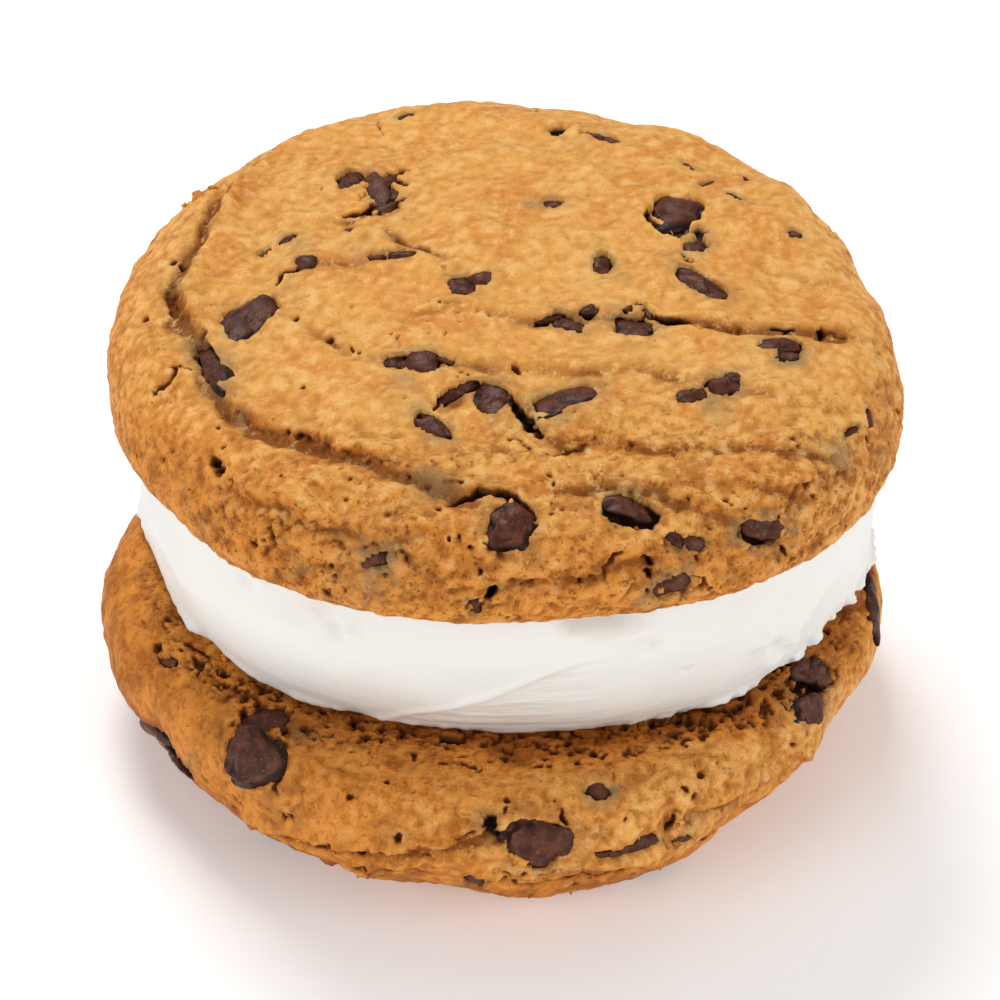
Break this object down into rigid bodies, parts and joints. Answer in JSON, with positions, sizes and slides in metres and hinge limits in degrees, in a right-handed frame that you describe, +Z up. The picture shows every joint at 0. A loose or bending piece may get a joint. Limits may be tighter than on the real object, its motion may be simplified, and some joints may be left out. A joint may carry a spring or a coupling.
{
  "type": "whoopie pie",
  "caption": "Sandwich of two round, domed chocolate-chip cookies, flat sides inward, round a thick layer of white cream that shows all round the side.",
  "frame": {"origin": "under the middle of the pie, on the surface that it rests on", "axes": "+Z up through both cookies, -Y towards the front, +X to the right seen from the front"},
  "size_m": [0.0906, 0.0902, 0.0621],
  "materials": {
    "cookie_crust": "matt baked dough, golden tan, browner at the rims and on the flat sides",
    "chocolate": "dark chocolate chips with a soft satin shine",
    "cream": "smooth white whipped cream, slightly see-through at the surface, spread marks on its side"
  },
  "bodies": {
    "root": {"bottom_cookie": "cookie_crust", "cream": "cream", "top_cookie": "cookie_crust"}
  },
  "joints": []
}
